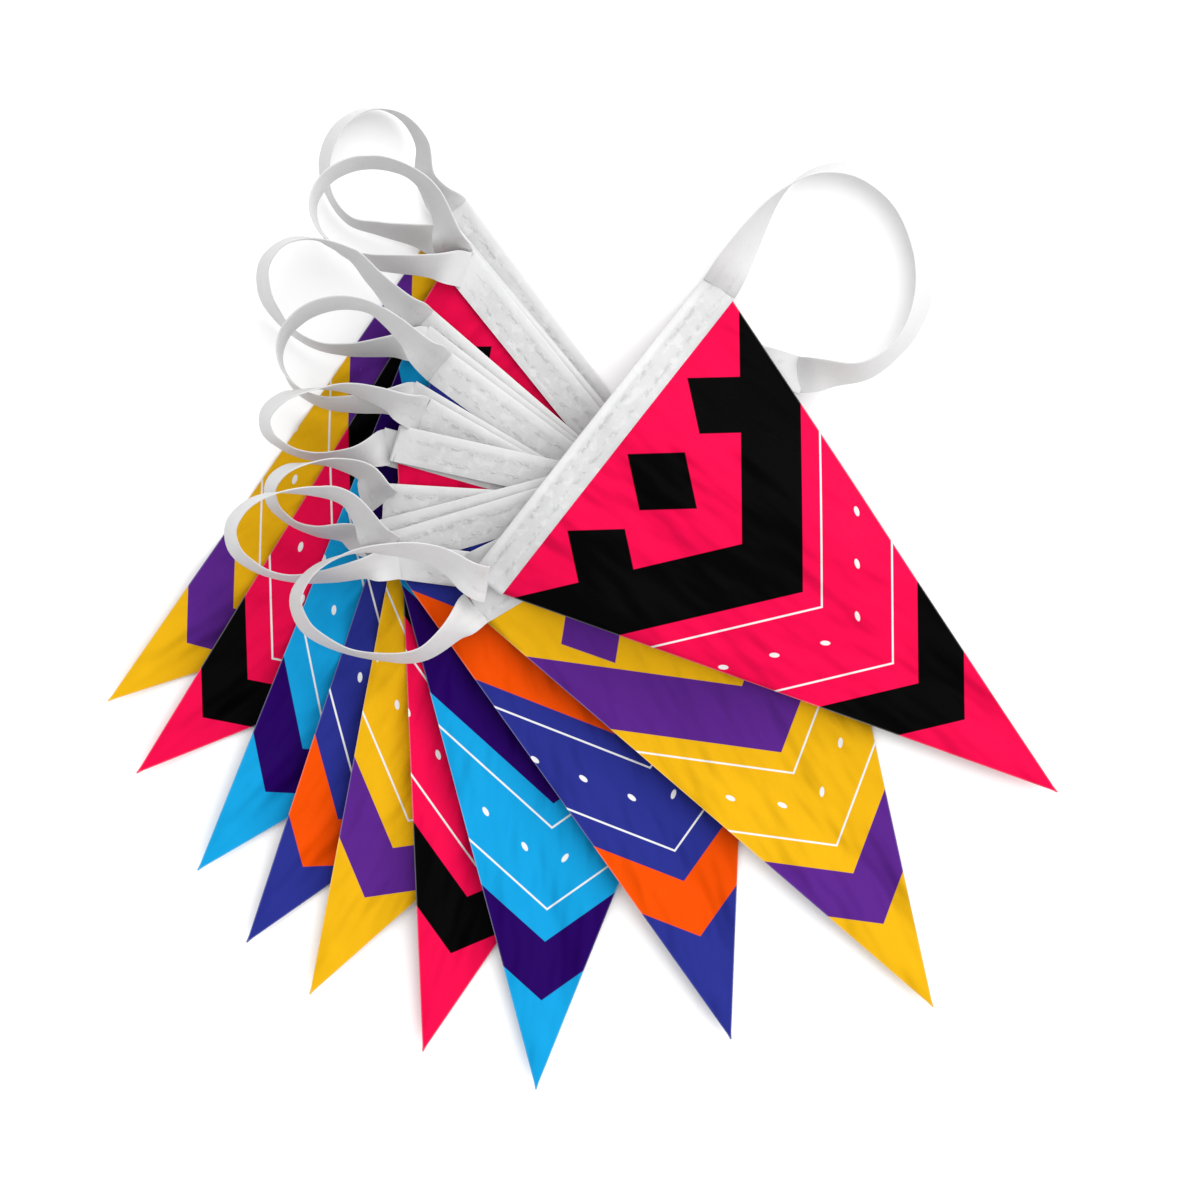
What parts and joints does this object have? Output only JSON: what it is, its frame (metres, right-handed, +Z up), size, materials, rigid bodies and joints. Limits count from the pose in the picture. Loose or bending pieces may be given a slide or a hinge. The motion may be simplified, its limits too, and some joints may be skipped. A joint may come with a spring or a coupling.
{
  "type": "pennant streamer",
  "caption": "Fanned stack of printed triangular pennants sewn into one continuous white folded tape, which runs in free loops between them.",
  "frame": {"origin": "middle of the bounding box seen from above, on the plane that the streamer lies on", "axes": "+Z up out of the surface that the streamer lies on, +X to the right and +Y away, as seen from above with the top pennant's tip at the lower right"},
  "size_m": [0.5099, 0.5278, 0.085],
  "materials": {
    "white_tape": "woven polyester tape, folded lengthwise and sewn",
    "pink_print": "printed polyester, soft satin",
    "yellow_print": "printed polyester, soft satin",
    "indigo_print": "printed polyester, soft satin",
    "cyan_print": "printed polyester, soft satin"
  },
  "bodies": {
    "root": {"tape": "white_tape", "pennant_01": "pink_print", "pennant_02": "yellow_print", "pennant_03": "indigo_print", "pennant_04": "cyan_print", "pennant_05": "pink_print", "pennant_06": "yellow_print", "pennant_07": "indigo_print", "pennant_08": "cyan_print", "pennant_09": "pink_print", "pennant_10": "yellow_print"}
  },
  "joints": []
}
